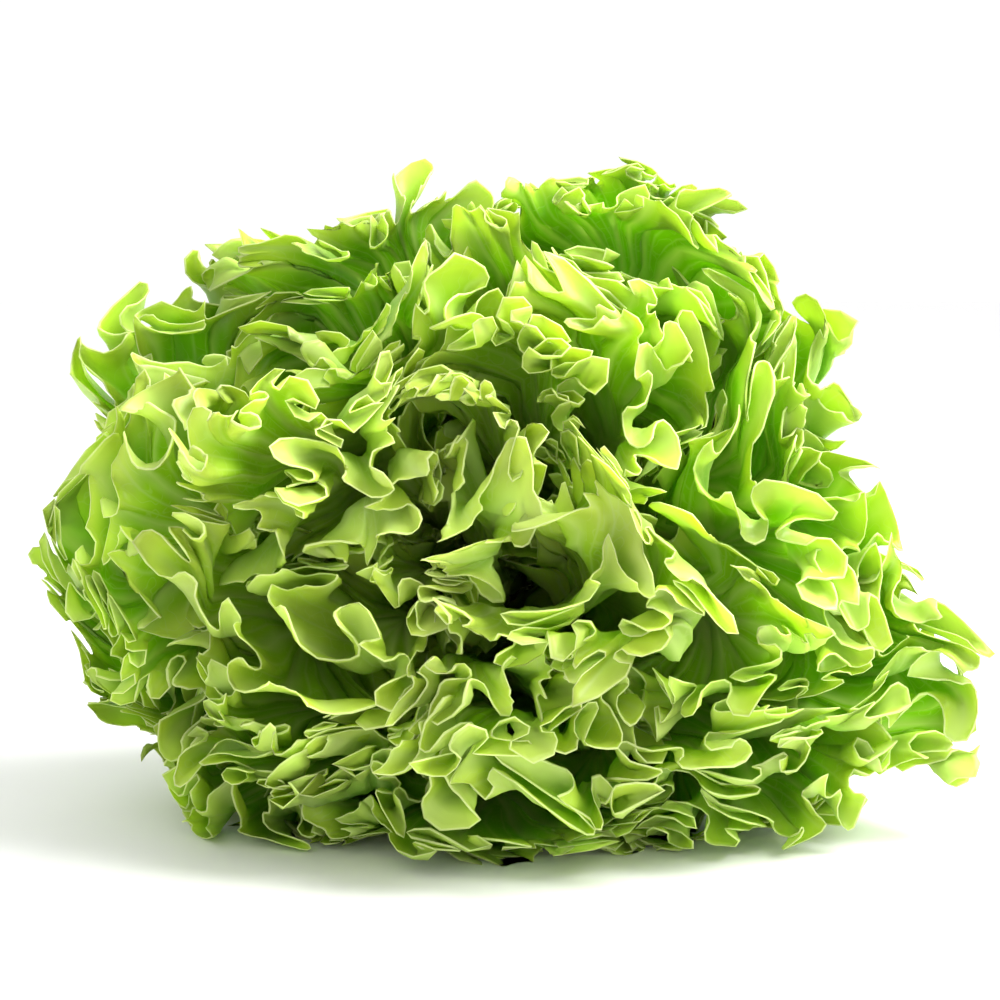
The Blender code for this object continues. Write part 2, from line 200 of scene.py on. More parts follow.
def stem_turning():
    """The tree that turns the stem: a cone and stump with scar rings, and a grainy cut across."""
    sizes = ("Foot Radius", "Top Radius", "Cone Height", "Stump Length", "Cut Bevel", "Scar Spacing",
             "Scar Depth", "Grain", "Relief")
    counts = (("Sides", "Int"), ("Side Rings", "Int"), ("Cut Rings", "Int"))
    places = (("Foot", "Vector"), ("Turn", "Rotation"))
    tree, given = new_growth("stem_turning", (*((size, "Float") for size in sizes), *counts, *places))
    node, work = partial(add_node, tree), partial(maths, tree)

    # A cylinder of radius 1 and height 1, and what each of its points is on the stem
    blank = node("GeometryNodeMeshCylinder", {
        "Vertices": given["Sides"], "Side Segments": given["Side Rings"], "Fill Segments": given["Cut Rings"],
        "Radius": 1.0, "Depth": 1.0,
    }, fill_type="TRIANGLE_FAN")
    place = node("GeometryNodeInputPosition").outputs[0]
    x, y, z = node("ShaderNodeSeparateXYZ", {0: place}).outputs
    out = work("SQRT", work("ADD", work("MULTIPLY", x, x), work("MULTIPLY", y, y)))
    length = work("ADD", given["Cone Height"], given["Stump Length"])
    above_cut = work("MULTIPLY", work("ADD", z, 0.5), length)
    height = work("SUBTRACT", above_cut, given["Stump Length"])

    # The radius: a cone on a stump, less the round bevel at the cut and the scars
    up_cone = node("ShaderNodeClamp", {0: work("DIVIDE", height, given["Cone Height"])}).outputs[0]
    narrowed = work("MULTIPLY", up_cone, work("SUBTRACT", given["Foot Radius"], given["Top Radius"]))
    radius = work("SUBTRACT", given["Foot Radius"], narrowed)
    edge = work("SUBTRACT", 1.0, work("DIVIDE", above_cut, given["Cut Bevel"]))
    edge = node("ShaderNodeClamp", {0: edge}).outputs[0]
    left = work("SQRT", work("SUBTRACT", 1.0, work("MULTIPLY", edge, edge)))
    rubbed = work("MULTIPLY", work("SUBTRACT", 1.0, left), given["Cut Bevel"])
    radius = work("SUBTRACT", radius, rubbed)
    turns = work("MULTIPLY", work("DIVIDE", height, given["Scar Spacing"]), 2 * math.pi)
    waved = work("SINE", work("MULTIPLY", work("ARCTAN2", y, x), SCAR_WAVES))
    scar = work("SUBTRACT", work("SINE", work("ADD", turns, waved)), 1.0)
    scar = work("MULTIPLY", scar, work("MULTIPLY", given["Scar Depth"], 0.5))
    radius = work("ADD", radius, scar)

    # The points put in place, marked for the skin, roughened by the grain, and stood where the stem is
    put = node("ShaderNodeCombineXYZ", {
        "X": work("MULTIPLY", x, radius), "Y": work("MULTIPLY", y, radius), "Z": height,
    }).outputs[0]
    shaped = node("GeometryNodeSetPosition", {"Geometry": blank.outputs["Mesh"], "Position": put}).outputs[0]
    shaped = stored(tree, shaped, "above_cut", above_cut)
    shaped = stored(tree, shaped, "from_axis", work("MULTIPLY", out, radius))
    grain = noise(tree, place, work("DIVIDE", 1.0, given["Grain"]), 3.0, given["Seed"]).outputs[0]
    relief = work("MULTIPLY", work("SUBTRACT", grain, 0.5), given["Relief"])
    stood = node("GeometryNodeTransform", {
        "Geometry": raised(tree, shaped, relief), "Translation": given["Foot"], "Rotation": given["Turn"],
    }).outputs[0]
    end_growth(tree, stood, given)
    return tree


def stem_flesh():
    """Pale flesh with fine streaks: whiter pith, a ring of darker bundles, and a browned rim at the cut."""
    skin, tree, surface = new_skin("stem_flesh")
    node, work = partial(add_node, tree), partial(maths, tree)
    place = node("ShaderNodeTexCoord").outputs["Object"]
    streaks = noise(tree, place, STREAKS_PER_METRE, 4).outputs["Fac"]
    patches = noise(tree, place, PATCHES_PER_METRE, 3).outputs["Fac"]
    flesh = mixed(tree, streaks, (*STEM_STREAK, 1), (*STEM_FLESH, 1))
    uneven_axis = work("ADD", read(tree, "from_axis"), work("MULTIPLY", patches, CUT_UNEVENNESS))
    way_out = work("DIVIDE", uneven_axis, STEM_RADIUS + CUT_UNEVENNESS)
    rings = ramped(tree, way_out, PITH_WHITE, CUT_COLOURS, CUT_BROWN)
    off_cut = ranged(tree, read(tree, "above_cut"), *CUT_FADE, 0, 1)
    colours = mixed(tree, off_cut, mixed(tree, CUT_STREAKED, rings, flesh), flesh)
    tree.links.new(colours, surface.inputs["Base Color"])
    surface.inputs["Roughness"].default_value = STEM_ROUGHNESS
    streaked = node("ShaderNodeBump", {"Distance": STREAK_RELIEF, "Height": streaks})
    tree.links.new(streaked.outputs["Normal"], surface.inputs["Normal"])
    return skin


stem_turn = Matrix((RIGHT, UP, AXIS)).transposed().to_euler()
turned_stem = grow("turned_stem", bpy.data.meshes.new("stem_blank"), stem_turning(), {
    "Foot Radius": STEM_RADIUS - STEM_CLEARANCE, "Top Radius": STEM_TOP_RADIUS - STEM_CLEARANCE,
    "Cone Height": STEM_HEIGHT - STEM_CLEARANCE, "Stump Length": STUMP_LENGTH, "Cut Bevel": CUT_BEVEL,
    "Scar Spacing": SCAR_SPACING, "Scar Depth": SCAR_DEPTH, "Grain": FLESH_GRAIN, "Relief": FLESH_RELIEF,
    "Sides": STEM_SIDES, "Side Rings": SIDE_RINGS, "Cut Rings": CUT_RINGS, "Foot": tuple(STEM_FOOT),
    "Turn": stem_turn, "Seed": STEM_SEED, "Material": stem_flesh(),
})
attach(turned_stem, "root")
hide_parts("cut_stem")

# Heart leaves
# The three smallest leaves, rolled round the stem's tip. A leaf is a thin blade of soft, translucent tissue
# on a pale midrib. Its margin outgrows the blade and so folds into frills. What all rings share is here.
RINGS = 8
HEART_ROOM = 0.8
GOLDEN_ANGLE = math.radians(137.5)
SEED = 20

# How far the leaf tips reach from the stem's axis, every 15 degrees round it: from the right over the top
REACH = 0.001 * np.array((156, 126, 127, 139, 138, 138, 139, 129, 121, 150, 158, 150,
                          148, 140, 132, 138, 130, 121, 116, 120, 136, 130, 150, 173))

# The shells that the rings lie on form a dome, less open below, where it lies on the table
DOME_FOOT = 0.062
DOME_HEIGHT = 0.128
DOME_OPENING = math.radians(84)
DOME_CLOSED_BELOW = math.radians(12)
HEART_LEAN = math.radians(3)
TIP_STRAIGHT = 0.42
STRAIGHTER_BELOW = 0.22
TIP_LEAN = 0.45
SHELL_STEP = 0.02

# Slow waves that bulge and turn the shells and put the whole head a little out of shape
SHELL_BULGES = ((2, 0.7, 0.0, 0.35), (3, 2.1, 1.5, 0.30))
SHELL_SUNK = 0.15
LEAF_TURN = 0.12
LEAF_TURNS_ROUND = 3
LEAF_TURN_LAG = 0.9
RING_TURN = 0.16
RING_TURN_PACE = 1.3
DRIFT_SIZE = 0.006
DRIFT_LENGTH = 0.022
DRIFT_WAVES = ((0.0, 0.7, 1.1, 0.5), (0.9, 0.0, -1.2, 1.9), (1.2, 0.8, 0.0, 3.6))
DRIFT_FREE_HEIGHT = (0.01, 0.08)
DRIFT_FREE_ALONG = (0.0, 0.5)

# Uneven leaf tips, and the leaves that end early in front of a leaf behind: angle round the stem in degrees,
# half width in degrees, and share of the length lost
TIP_SPREAD = (0.94, 1.06)
OUTER_TIP_SPREAD = (0.95, 1.04)
OUTER_RINGS = 2
GLIMPSES = ((126, 14, 0.16), (68, 11, 0.12), (18, 12, 0.10))
GLIMPSE_RINGS = (3, 5)

# The flat leaf: a stalk that fans out into a round blade, with veins leaning out from the midrib
STALK_SHARE = 0.95
STALK_END = 0.15
BLADE_FULL = 0.65
TIP_ROUNDING = 0.17
TIP_SQUARENESS = 3.0
RIB_START = 0.2
RIB_LEAN = 0.5

# The big folds, which start well inside the blade, and how unevenly they are spaced and sized
FOLD_SWING = 1.5
FOLD_START = 0.060
FOLD_SHARPNESS = 1.3
FOLD_FREE_FROM_RIB = 0.35
FRILL_FADE = (0.15, 0.40)
STALK_PACE = 0.001
SPACING_KNOTS = 9
SPACING_SPREAD = 0.25
SIZE_KNOTS = 11
SIZE_SPREAD = 0.2
MOST_SWING = 2.1
LEAST_FORWARD = 0.2

# The small curls near the margin, and how unevenly they are spaced and sized
CURL_SWING = 1.1
CURL_START = 0.022
CURL_SHARPNESS = 1.2
CURLS_PER_FOLD = 2.3
FINER_CURLS = (0.8, 1.6)
CURL_SPACING_KNOTS = 17
CURL_SPACING_SPREAD = 0.55
CURL_SIZE_KNOTS = 13
CURL_SIZE_SPREAD = 0.75

# The margin flares out of its curls, and isn't equally deep all round
FLARE = 0.0045
FLARE_DROP = 0.003
FLARE_START = 0.010
FLARE_BEND = 0.005
FLARE_SHARPNESS = 1.5
FLARE_STEPS = 12
LOBE_DEPTH = 0.003
UNEVEN_DEPTH = 0.006
UNEVEN_KNOTS = 15

# The margin's pointed lobes and the small teeth on them, measured along the frilled margin
LOBE_SPACING = 0.012
LOBE_POINT = 0.0060
LOBE_SPREAD = 0.5
LOBE_KNOTS = 61
TOOTH_SPACING = 0.0075
TOOTH_DEPTH = 0.0014
POINT_SHARPNESS = 0.7
POINTED_ROWS = (0.1, 0.3, 0.65, 1.0)

# The tissue: thick and fleshy at the midrib, which tapers up the leaf, and thin in the blade
BLADE_THICKNESS = 0.0005
RIB_THICKNESS = 0.0034
RIB_HALF_WIDTH = 0.0045
RIB_REACH = 0.55
RIB_TAPER = 0.6

# Its relief away from the midrib: ridges over the veins, blisters between them, and bends that all share
RELIEF_FADE = (0.1, 0.5)
VEINS_PER_FOLD = 2
VEIN_HEIGHT = 0.0011
VEIN_SHARPNESS = 4.0
BLISTER_SIZE = 0.009
BLISTER_HEIGHT = 0.0045
BEND_SIZE = 0.030
BEND = 0.022
SAME_POINT = 1e-6

# Its colours: where the tones from the margin inwards change, in shares of their reach, and the veins, each
# kind with its number to a fold, its width, where it starts from rib to margin, and its strength
TONES_REACH = 0.060
TONE_STOPS = (0.007, 0.08, 0.32, 0.7)
VEIN_LINES = ((2, 0.13, 0.0, 1.0), (6, 0.10, 0.35, 0.55))
VEINS_NARROW_FROM = 0.25
VEIN_PALENESS = 0.65
NET_PER_METRE = 220
NET_WIDTH = 0.035
NET_STRENGTH = 0.4
FLESH_SHOWN = (0.2, 0.75)
FLESH_PALENESS = 0.9
LOWER_GREEN = (0.62, 0.73, 0.34)
LOWER_PALENESS = 0.24
PATCH_SIZE = 0.026
PATCH_RANGE = (0.3, 0.7)
PATCH_SHADES = (0.82, 1.18)

# How the leaf shines, and the part of the light that comes through it, brighter and yellower
LEAF_ROUGHNESS = 0.36
LEAF_SHINE = 0.35
GLOW_SHARE = 0.40
GLOW_HUE = 0.488
GLOW_VALUE = 1.4

# The room that a leaf may fill: its share of the gap between shells, and of its ring
CELL_KNEE = 0.60
CELL_SHARE = 0.95
LEAST_ROOM = 0.017
SECTOR_KNEE = 0.90
SECTOR_SHARE = 1.15
SHINGLED = 0.20

# The table presses the lowest leaves flat, one on the other
TABLE_KNEE = 0.014
TABLE_DEPTH = 0.002
ON_TABLE = 0.35
RING_STEP = 0.0055
PRESSED_SWING = 0.9
PRESSED_HEIGHT = (0.0, 0.012)

# The sheet's points: fine steps along the margin for the sums, and a column every so far along the frilled
# margin. The rows run from the midrib out, and the inner ones take only every fourth or second column
FINE_STEPS = 2400
COLUMN_WIDTH = 0.00125
ROWS = ((4, 0), (4, 0.06), (4, 0.16), (4, 0.32), (4, 0.47), (4, 0.59),
        (2, 0.68), (2, 0.75), (2, 0.81), (2, 0.86), (1, 0.90), (1, 0.925), (1, 0.948), (1, 0.972), (1, 1))


def ease(x, low, high):
    """0 below low, 1 above high, and smooth between."""
    x = np.clip((x - low) / (high - low), 0, 1)
    return x * x * (3 - 2 * x)


def reach_at(angle):
    """How far the outermost tips reach at an angle round the stem's axis, as a smooth closed curve."""
    place = (angle / math.radians(360 / len(REACH))) % len(REACH)
    before = np.floor(place).astype(int)
    share = ease(place - before, 0, 1)
    return REACH[before % len(REACH)] * (1 - share) + REACH[(before + 1) % len(REACH)] * share


def profile(ring, angle, along):
    """A shell's profile through the stem's axis: distance from the axis, height on it and leaf length."""
    outward = (ring + HEART_ROOM) / (RINGS - 0.5 + HEART_ROOM)
    below = np.clip(-np.sin(angle), 0, 1)
    lean = np.maximum((DOME_OPENING - DOME_CLOSED_BELOW * below) * outward, HEART_LEAN)
    foot_r = STEM_TOP_RADIUS + (STEM_RADIUS - STEM_TOP_RADIUS) * outward
    foot_h = STEM_HEIGHT * (1 - outward)
    tip_r = reach_at(angle) * np.sin(lean)
    tip_h = DOME_FOOT + DOME_HEIGHT * np.cos(lean)
    span = np.hypot(tip_r - foot_r, tip_h - foot_h)
    heading = TIP_LEAN * lean * (1 - below**2)
    straight = span * (TIP_STRAIGHT + STRAIGHTER_BELOW * below**2)
    bend_r = tip_r - straight * np.sin(heading)
    bend_h = tip_h - straight * np.cos(heading)
    inside = np.minimum(along, 1)
    beyond = np.maximum(along - 1, 0) * span
    foot, bend, tip = (1 - inside) ** 2, 2 * inside * (1 - inside), inside**2
    r = foot * foot_r + bend * bend_r + tip * tip_r + beyond * np.sin(heading)
    h = foot * foot_h + bend * bend_h + tip * tip_h + beyond * np.cos(heading)
    return r, h, span


def wander(ring, angle, along):
    """A place among the shells, moved by the slow waves, which fade at the heart, outside and stem."""
    outward = (ring + 0.5) / RINGS
    up_leaf = np.clip(along, 0, 1)
    bulge = -SHELL_SUNK
    for waves, phase, gained, size in SHELL_BULGES:
        bulge = bulge + size * np.sin(waves * angle + phase + gained * along)
    ring = ring + 4 * outward * (1 - outward) * up_leaf * bulge
    turn = LEAF_TURN * np.sin(LEAF_TURNS_ROUND * angle + LEAF_TURN_LAG * ring)
    turn = turn + RING_TURN * np.sin(RING_TURN_PACE * ring)
    return ring, angle + up_leaf * turn


def drift(point, along):
    """Points moved by the slow waves through space."""
    free = DRIFT_SIZE * ease(point[..., 2], *DRIFT_FREE_HEIGHT) * ease(along, *DRIFT_FREE_ALONG)
    moves = [np.sin(point @ np.array(pace) / DRIFT_LENGTH + phase) * free for *pace, phase in DRIFT_WAVES]
    return point + np.stack(moves, axis=-1)


def press_on_table(z, ring):
    """Heights near the table are squeezed together in order: wrapper leaves lie flat, the others on them."""
    room = TABLE_KNEE + TABLE_DEPTH
    pressed = room * np.exp((np.minimum(z, TABLE_KNEE) - TABLE_KNEE) / room) - TABLE_DEPTH
    floor = BLADE_THICKNESS / 2 + RING_STEP * np.maximum(RINGS - 1 - ON_TABLE - ring, 0)
    return np.maximum(np.where(z > TABLE_KNEE, z, pressed), floor)


def free_point(ring, angle, along):
    """The point on a shell, if there were no table, at an angle round the stem and a share of the length."""
    ring, angle = wander(ring, angle, along)
    r, h, _ = profile(ring, angle, along)
    point = STEM_FOOT + np.multiply.outer(h, AXIS)
    return point + np.multiply.outer(r * np.cos(angle), RIGHT) + np.multiply.outer(r * np.sin(angle), UP)


def shell_point(ring, angle, along):
    """The point on a shell, also between rings, pressed on the table and drifted with its neighbours."""
    point = free_point(ring, angle, along)
    point[..., 2] = press_on_table(point[..., 2], ring)
    return drift(point, along)


def limited(x, knee, most):
    """x up to knee, then bending over so that it never passes most."""
    size = np.abs(x)
    bent = knee + (most - knee) * np.tanh((size - knee) / (most - knee))
    return np.sign(x) * np.where(size < knee, size, bent)


def running_mean(values, width):
    """The mean of values over a window of that many steps, with the ends held."""
    window = np.hanning(width + 2)[1:-1]
    held = np.concatenate((np.full(width, values[0]), values, np.full(width, values[-1])))
    return np.convolve(held, window / window.sum(), "same")[width:-width]


def uneven(knots, spread, draw):
    """A slowly varying factor round 1 along the margin."""
    factors = draw.uniform(-spread, spread, knots)
    return 1 + np.interp(np.linspace(0, 1, FINE_STEPS), np.linspace(0, 1, knots), factors)


class Leaf:
    """One leaf: its place in the head, its flat outline and its frills."""

    def __init__(self, ring, number, leaves, folds):
        draw = np.random.default_rng((SEED, ring, number))
        self.ring = ring
        self.half_sector = math.pi / leaves
        self.angle = ring * GOLDEN_ANGLE + 2 * number * self.half_sector
        self.tip = draw.uniform(*(TIP_SPREAD if ring < RINGS - OUTER_RINGS else OUTER_TIP_SPREAD))
        for angle, width, lost in GLIMPSES:
            off = math.remainder(self.angle - math.radians(angle), 2 * math.pi) / math.radians(width)
            if GLIMPSE_RINGS[0] <= ring <= GLIMPSE_RINGS[1]:
                self.tip *= 1 - lost * math.exp(-off * off)
        self.folds = folds
        self.first_phase = math.pi * draw.integers(0, 2)
        self.fold_spacing = uneven(SPACING_KNOTS, SPACING_SPREAD, draw)
        self.fold_size = uneven(SIZE_KNOTS, SIZE_SPREAD, draw)
        self.set_outline()
        self.set_curls(np.random.default_rng((SEED + 1, ring, number)))

    def set_outline(self):
        """The flat outline, x across and y along the leaf, from the stalk's left edge round to its right."""
        share = np.linspace(0, 1, FINE_STEPS)
        r, _, span = profile(self.ring, self.angle, share * self.tip)
        self.length = float(span)
        fanned = np.clip((share - STALK_END) / (BLADE_FULL - STALK_END), 0, 1)
        blade = STALK_SHARE + (1 - STALK_SHARE) * fanned
        past = np.clip((share - 1 + TIP_ROUNDING) / TIP_ROUNDING, 0, 1)
        half_width = self.half_sector * r * blade * np.sqrt(1 - past**TIP_SQUARENESS)
        x = np.concatenate((-half_width, half_width[-2::-1]))
        y = self.tip * self.length * np.concatenate((share, share[-2::-1]))
        passed = np.concatenate(((0,), np.cumsum(np.hypot(np.diff(x), np.diff(y)))))
        self.margin = passed[-1]
        self.steps = np.linspace(0, 1, FINE_STEPS)
        self.edge_x = np.interp(self.steps * self.margin, passed, x)
        self.edge_y = np.interp(self.steps * self.margin, passed, y)
        height = self.edge_y / (self.tip * self.length)
        fork = RIB_START * self.tip * self.length
        self.rib_y = np.where(height < RIB_START, self.edge_y, fork + RIB_LEAN * (self.edge_y - fork))
        self.frilled = ease(height, *FRILL_FADE)
        pace = self.frilled / self.fold_spacing + STALK_PACE
        turns = np.cumsum(pace) / pace.sum() * self.folds
        self.phase = 2 * math.pi * turns + self.first_phase

    def set_curls(self, draw):
        """The small curls along the margin, unevenly spaced and sized, and the points and teeth on it."""
        pace = self.frilled / uneven(CURL_SPACING_KNOTS, CURL_SPACING_SPREAD, draw)
        turns = np.cumsum(pace) / pace.sum() * self.folds * CURLS_PER_FOLD * draw.uniform(*FINER_CURLS)
        self.curl_phase = 2 * math.pi * (turns + draw.uniform())
        self.curl_size = np.clip(uneven(CURL_SIZE_KNOTS, CURL_SIZE_SPREAD, draw), 0, 2)
        self.unevenness = UNEVEN_DEPTH * (uneven(UNEVEN_KNOTS, 1.0, draw) - 1) * self.frilled
        *_, step = self.walk(1.0)
        self.frilled_margin = np.cumsum(step)
        lobes_passed = np.cumsum(step / uneven(LOBE_KNOTS, LOBE_SPREAD, draw)) / LOBE_SPACING
        teeth_passed = np.cumsum(step / uneven(LOBE_KNOTS, LOBE_SPREAD, draw)) / TOOTH_SPACING
        lobe = np.abs(np.sin(math.pi * lobes_passed)) ** POINT_SHARPNESS
        tooth = np.abs(np.sin(math.pi * teeth_passed)) ** POINT_SHARPNESS
        lobe_size = LOBE_POINT * uneven(LOBE_KNOTS, LOBE_SPREAD, draw)
        self.points = (lobe_size * (0.5 - lobe) + TOOTH_DEPTH * (0.5 - tooth)) * self.frilled

    def frill_left(self, x, y):
        """How much of the frill is left at places on the leaf: less where the table presses it flat."""
        r, _, _ = profile(self.ring, self.angle, y / self.length)
        angle = self.angle + x / np.maximum(r, STEM_TOP_RADIUS)
        height = free_point(self.ring, angle, y / self.length)[:, 2]
        return PRESSED_SWING + (1 - PRESSED_SWING) * ease(height, *PRESSED_HEIGHT)

    def walk(self, out):
        """The frilled line at a share of the way out, on the flat leaf: where it is, and how it swings."""
        rib = np.hypot(self.edge_x, self.edge_y - self.rib_y)
        x = out * self.edge_x
        y = self.rib_y + out * (self.edge_y - self.rib_y)
        inside = (1 - out) * rib
        along_x, along_y = np.gradient(self.edge_x), np.gradient(self.edge_y)
        size = np.hypot(along_x, along_y)
        free = self.frilled * self.frill_left(x, y)
        fold = np.exp(-(inside / FOLD_START) ** FOLD_SHARPNESS) * free * min(1, out / FOLD_FREE_FROM_RIB)
        curl = np.exp(-(inside / CURL_START) ** CURL_SHARPNESS) * free
        heading = FOLD_SWING * fold * self.fold_size * np.sin(self.phase)
        heading = heading + CURL_SWING * curl * self.curl_size * np.sin(self.curl_phase)
        heading = MOST_SWING * np.tanh(heading / MOST_SWING)
        window = FINE_STEPS // self.folds
        forward_share = np.maximum(running_mean(np.cos(heading), window), LEAST_FORWARD)
        step = np.hypot(np.gradient(x), np.gradient(y)) / forward_share
        forward = np.cumsum(np.cos(heading) * step)
        aside = np.cumsum(np.sin(heading) * step)
        forward = forward - running_mean(forward, window)
        aside = aside - running_mean(aside, window)
        bend = running_mean(-np.gradient(heading) / step, FLARE_STEPS)
        flare = np.exp(-(inside / FLARE_START) ** FLARE_SHARPNESS) * free * np.tanh(bend * FLARE_BEND)
        forward = forward - FLARE * flare * np.sin(heading)
        aside = aside + FLARE * flare * np.cos(heading)
        x = x + forward * along_x / size
        y = np.maximum(y + forward * along_y / size, 0)
        lobes = (LOBE_DEPTH * np.cos(2 * self.phase) + self.unevenness) * fold - FLARE_DROP * np.abs(flare)
        return x, y, aside, lobes, inside, step

    def row(self, out):
        """The frilled line at a share of the way out: where it is, how far inside, and its flat place."""
        x, y, aside, lobes, inside, _ = self.walk(out)
        along = y / self.length
        r, _, _ = profile(self.ring, self.angle, along)
        across = limited(x / (self.half_sector * r), SECTOR_KNEE, SECTOR_SHARE)
        angle = self.angle + self.half_sector * across
        gap, slide = self.across_shells(angle, along)
        room = np.maximum(CELL_SHARE, LEAST_ROOM / gap)
        shift = room * limited(aside / gap / room, CELL_KNEE, 1.0)
        shift = shift + SHINGLED * across
        along = along - shift * slide + lobes / self.length
        points = shell_point(self.ring + shift, angle, np.maximum(along, 0))
        flat_x, flat_y = out * self.edge_x, self.rib_y + out * (self.edge_y - self.rib_y)
        return np.column_stack((points, inside, flat_x, flat_y))

    def across_shells(self, angle, along):
        """The distance from one shell to the next, square to the leaf, and how far that slides along it."""
        from_inner = shell_point(self.ring + 0.5, angle, along) - shell_point(self.ring - 0.5, angle, along)
        upward = shell_point(self.ring, angle, along + SHELL_STEP) - shell_point(self.ring, angle, along)
        stretch = np.linalg.norm(upward, axis=-1) / SHELL_STEP
        upward = upward / (stretch * SHELL_STEP)[:, None]
        slant = (from_inner * upward).sum(axis=-1)
        gap = np.linalg.norm(from_inner - slant[:, None] * upward, axis=-1)
        return gap, slant / stretch

    def columns(self):
        """Places along the margin, evenly along the frilled line."""
        most = self.frilled_margin[-1]
        count = 4 * round(most / COLUMN_WIDTH / 4)
        return np.interp(np.linspace(0, most, count + 1), self.frilled_margin, self.steps)


def joined_rows(inner, outer):
    """Faces between two rows of points, the outer with as many points or with twice as many."""
    left, right = inner[:-1], inner[1:]
    if len(inner) == len(outer):
        return np.column_stack((left, right, outer[1:], outer[:-1])).tolist()
    middle = outer[1::2]
    fan = (left, middle, outer[:-1:2]), (left, right, middle), (right, outer[2::2], middle)
    return [corners for triangle in fan for corners in np.column_stack(triangle).tolist()]


def leaf_sheet(name, leaf):
    """The leaf as a sheet of faces, closed along its midrib, with the flesh and the spot of each point."""
    places = leaf.columns()
    rows, faces, first = [], [], 0
    for stride, out in ROWS:
        line = leaf.row(out)
        spots = places[::stride]
        points = np.column_stack([np.interp(spots, leaf.steps, values) for values in line.T])
        numbers = first + np.arange(len(spots))
        if out == 0:
            along = (points[:, 5] + points[::-1, 5]) / 2 / leaf.length
            ring, angle = np.full(len(spots), float(leaf.ring)), np.full(len(spots), leaf.angle)
            points[:, :3] = shell_point(ring, angle, along)
            numbers = np.minimum(numbers, numbers[::-1])
        else:
            faces += joined_rows(before, numbers)
        before = numbers
        turns = np.interp(spots, leaf.steps, leaf.phase) / (2 * math.pi)
        rows.append(np.column_stack((points, turns, np.full(len(spots), out))))
        first += len(spots)
    outward = rows[-1][:, :3] - rows[-3][:, :3]
    outward = outward / np.maximum(np.linalg.norm(outward, axis=1), SAME_POINT)[:, None]
    pointed = np.interp(places, leaf.steps, leaf.points)[:, None] * outward
    for row, share in zip(rows[-len(POINTED_ROWS):], POINTED_ROWS):
        row[:, :3] += share * pointed
    table = np.concatenate(rows)
    inside, flat_x, flat_y, turns, out = table.T[3:]
    mesh = bpy.data.meshes.new(name)
    mesh.from_pydata(table[:, :3].tolist(), [], faces)
    mesh.shade_smooth()
    up_leaf = np.clip(flat_y / (RIB_REACH * leaf.length), 0, 1)
    rib = np.exp(-(flat_x / (RIB_HALF_WIDTH * (1 - RIB_TAPER * up_leaf))) ** 2) * (1 - up_leaf)
    flesh = (BLADE_THICKNESS + (RIB_THICKNESS - BLADE_THICKNESS) * rib) / RIB_THICKNESS
    mesh.attributes.new("flesh", "FLOAT", "POINT").data.foreach_set("value", flesh)
    spot = np.column_stack((inside, turns, out)).ravel()
    mesh.attributes.new("spot", "FLOAT_VECTOR", "POINT").data.foreach_set("vector", spot)
    return mesh


def leaf_skin(name, rib_green, blade_green, frill_green, edge_green):
    """Thin waxy leaf tissue: paler at the ribs and the margin, veined, patchy, and lit from behind."""
    skin, tree, surface = new_skin(name)
    node, work = partial(add_node, tree), partial(maths, tree)
    inside, turns, out = node("ShaderNodeSeparateXYZ", {0: read(tree, "spot", "Vector")}).outputs
    flesh, paler, shade = node("ShaderNodeSeparateXYZ", {0: read(tree, "tints", "Vector")}).outputs
    stops = zip(TONE_STOPS, (frill_green, frill_green, blade_green, blade_green))
    inner_green = np.add(blade_green, rib_green) / 2
    tones = ramped(tree, ranged(tree, inside, 0, TONES_REACH, 0, 1), edge_green, stops, inner_green)

    def veins(per_fold, thickness, start, strength):
        off = work("FRACT", work("ADD", work("MULTIPLY", turns, per_fold), 0.5))
        off = work("ABSOLUTE", work("SUBTRACT", off, 0.5))
        width = work("DIVIDE", thickness, work("MAXIMUM", out, VEINS_NARROW_FROM))
        line = work("MAXIMUM", work("SUBTRACT", 1, work("DIVIDE", off, width)), 0)
        return work("MULTIPLY", work("MULTIPLY", line, strength), work("GREATER_THAN", out, start))

    # The veins with the net of the finest ones between them, and the fleshy midrib, which is almost white
    place = node("ShaderNodeTexCoord").outputs["Object"]
    from_net = work("SUBTRACT", noise(tree, place, NET_PER_METRE, 0).outputs["Fac"], 0.5)
    net = ranged(tree, work("ABSOLUTE", from_net), 0, NET_WIDTH, NET_STRENGTH, 0)
    lines = work("MAXIMUM", work("MAXIMUM", *(veins(*kind) for kind in VEIN_LINES)), net)
    fleshy = ranged(tree, flesh, *FLESH_SHOWN, 0, FLESH_PALENESS)
    pale = work("MAXIMUM", work("MULTIPLY", lines, VEIN_PALENESS), fleshy)
    veined = mixed(tree, pale, tones, (*rib_green, 1))
    toned = scaled(tree, mixed(tree, paler, veined, (*LOWER_GREEN, 1)), shade)
    tree.links.new(toned, surface.inputs["Base Color"])
    surface.inputs["Roughness"].default_value = LEAF_ROUGHNESS
    surface.inputs["Specular IOR Level"].default_value = LEAF_SHINE

    # The light that comes through
    lit = node("ShaderNodeHueSaturation", {"Hue": GLOW_HUE, "Value": GLOW_VALUE, "Color": toned})
    glow = node("ShaderNodeBsdfTranslucent", {"Color": lit.outputs["Color"]}).outputs["BSDF"]
    both = node("ShaderNodeMixShader", {"Fac": GLOW_SHARE, 1: surface.outputs["BSDF"], 2: glow})
    tree.links.new(both.outputs["Shader"], tree.nodes["Material Output"].inputs["Surface"])
    return skin


